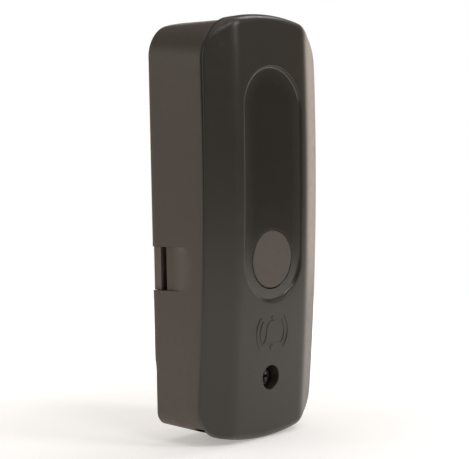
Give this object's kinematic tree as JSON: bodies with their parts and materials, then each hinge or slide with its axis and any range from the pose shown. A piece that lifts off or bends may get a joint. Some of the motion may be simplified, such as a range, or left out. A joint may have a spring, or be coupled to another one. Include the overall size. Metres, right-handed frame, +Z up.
{
  "type": "video doorbell",
  "caption": "Tall wall-mounted video doorbell: deep grey-brown housing, faceted dark cover, stadium-shaped smoked window with a round call button, screw below.",
  "frame": {"origin": "centre of the face of the mounting plate that rests on the wall", "axes": "+X to the visitor's right, +Y into the wall, +Z up; the front faces -Y"},
  "size_m": [0.0588, 0.0332, 0.15],
  "materials": {
    "housing": "fine spark-eroded grain, brown-grey",
    "cover": "semi-gloss moulded, dark brown-grey",
    "window": "polished smoked panel",
    "button": "matt, slightly warmer and lighter than the cover",
    "rubber": "matt silicone",
    "plate": "matt moulded",
    "steel": "zinc-plated",
    "brass": "turned",
    "board": "solder-mask green",
    "tin": "tin-plated sheet",
    "black_plastic": "matt moulded",
    "diffuser": "milky translucent",
    "glass": "coated optical glass",
    "pouch": "laminated foil",
    "terminal": "moulded green",
    "flex": "polyimide film over copper"
  },
  "bodies": {
    "wall_unit": {"mount_plate": "plate", "rear_housing": "housing", "screw_insert": "brass", "cable_grommet": "rubber", "main_board": "board", "battery_pack": "pouch", "switch_body": "black_plastic", "processor_shield": "tin", "wifi_antenna": "flex", "camera_bracket": "black_plastic", "motion_sensor": "tin", "motion_lens": "diffuser", "terminal_block": "terminal", "terminal_screw_left": "brass", "terminal_screw_right": "brass", "speaker": "black_plastic", "speaker_gasket": "rubber", "microphone": "tin", "microphone_seal": "rubber", "housing_screw_left": "steel", "housing_screw_right": "steel", "housing_screw_lower": "steel", "board_screw_upper_left": "steel", "infrared_led_upper_left": "glass", "board_screw_upper_right": "steel", "infrared_led_upper_right": "glass", "board_screw_lower_left": "steel", "infrared_led_lower_left": "glass", "board_screw_lower_right": "steel", "infrared_led_lower_right": "glass"},
    "cover": {"front_cover": "cover", "cover_seal": "rubber", "smoked_window": "window", "window_gasket": "rubber", "button_seal": "rubber", "light_ring": "diffuser", "button_guide": "black_plastic", "button_spring": "steel", "guide_screw_left": "steel", "guide_screw_right": "steel"},
    "button": {"call_button": "button"},
    "plunger": {"switch_plunger": "button"},
    "screw_carrier": {"screw_seal": "rubber"},
    "screw": {"cover_screw": "steel"},
    "camera": {"camera_housing": "black_plastic", "sensor_board": "board", "lens_barrel": "black_plastic", "lens_front": "glass"}
  },
  "joints": [
    {"name": "cover_tilt", "type": "hinge", "parent": "wall_unit", "child": "cover", "pos_m": [0, -0.0266, 0.0748], "axis": [-1, 0, 0], "range_deg": [0, 30]},
    {"name": "button_press", "type": "slide", "parent": "cover", "child": "button", "axis": [0, 1, 0], "range_m": [0, 0.0008], "stiffness_N_per_m": 800, "springref_m": -0.001, "deforming": ["button_spring"]},
    {"name": "plunger_press", "type": "slide", "parent": "wall_unit", "child": "plunger", "axis": [0, 1, 0], "range_m": [0, 0.0008]},
    {"name": "screw_travel", "type": "slide", "parent": "cover", "child": "screw_carrier", "axis": [0, -1, 0], "range_m": [0, 0.0035]},
    {"name": "screw_turn", "type": "hinge", "parent": "screw_carrier", "child": "screw", "pos_m": [0, -0.02, -0.053], "axis": [0, -1, 0], "range_deg": [0, 1801]},
    {"name": "camera_tilt", "type": "hinge", "parent": "wall_unit", "child": "camera", "pos_m": [0, -0.0226, 0.042], "axis": [1, 0, 0], "range_deg": [-8, 8]}
  ],
  "couplings": [
    {"joint": "plunger_press", "follows": "button_press", "ratio": 1},
    {"joint": "screw_turn", "follows": "screw_travel", "rad_per_m": 8976}
  ]
}
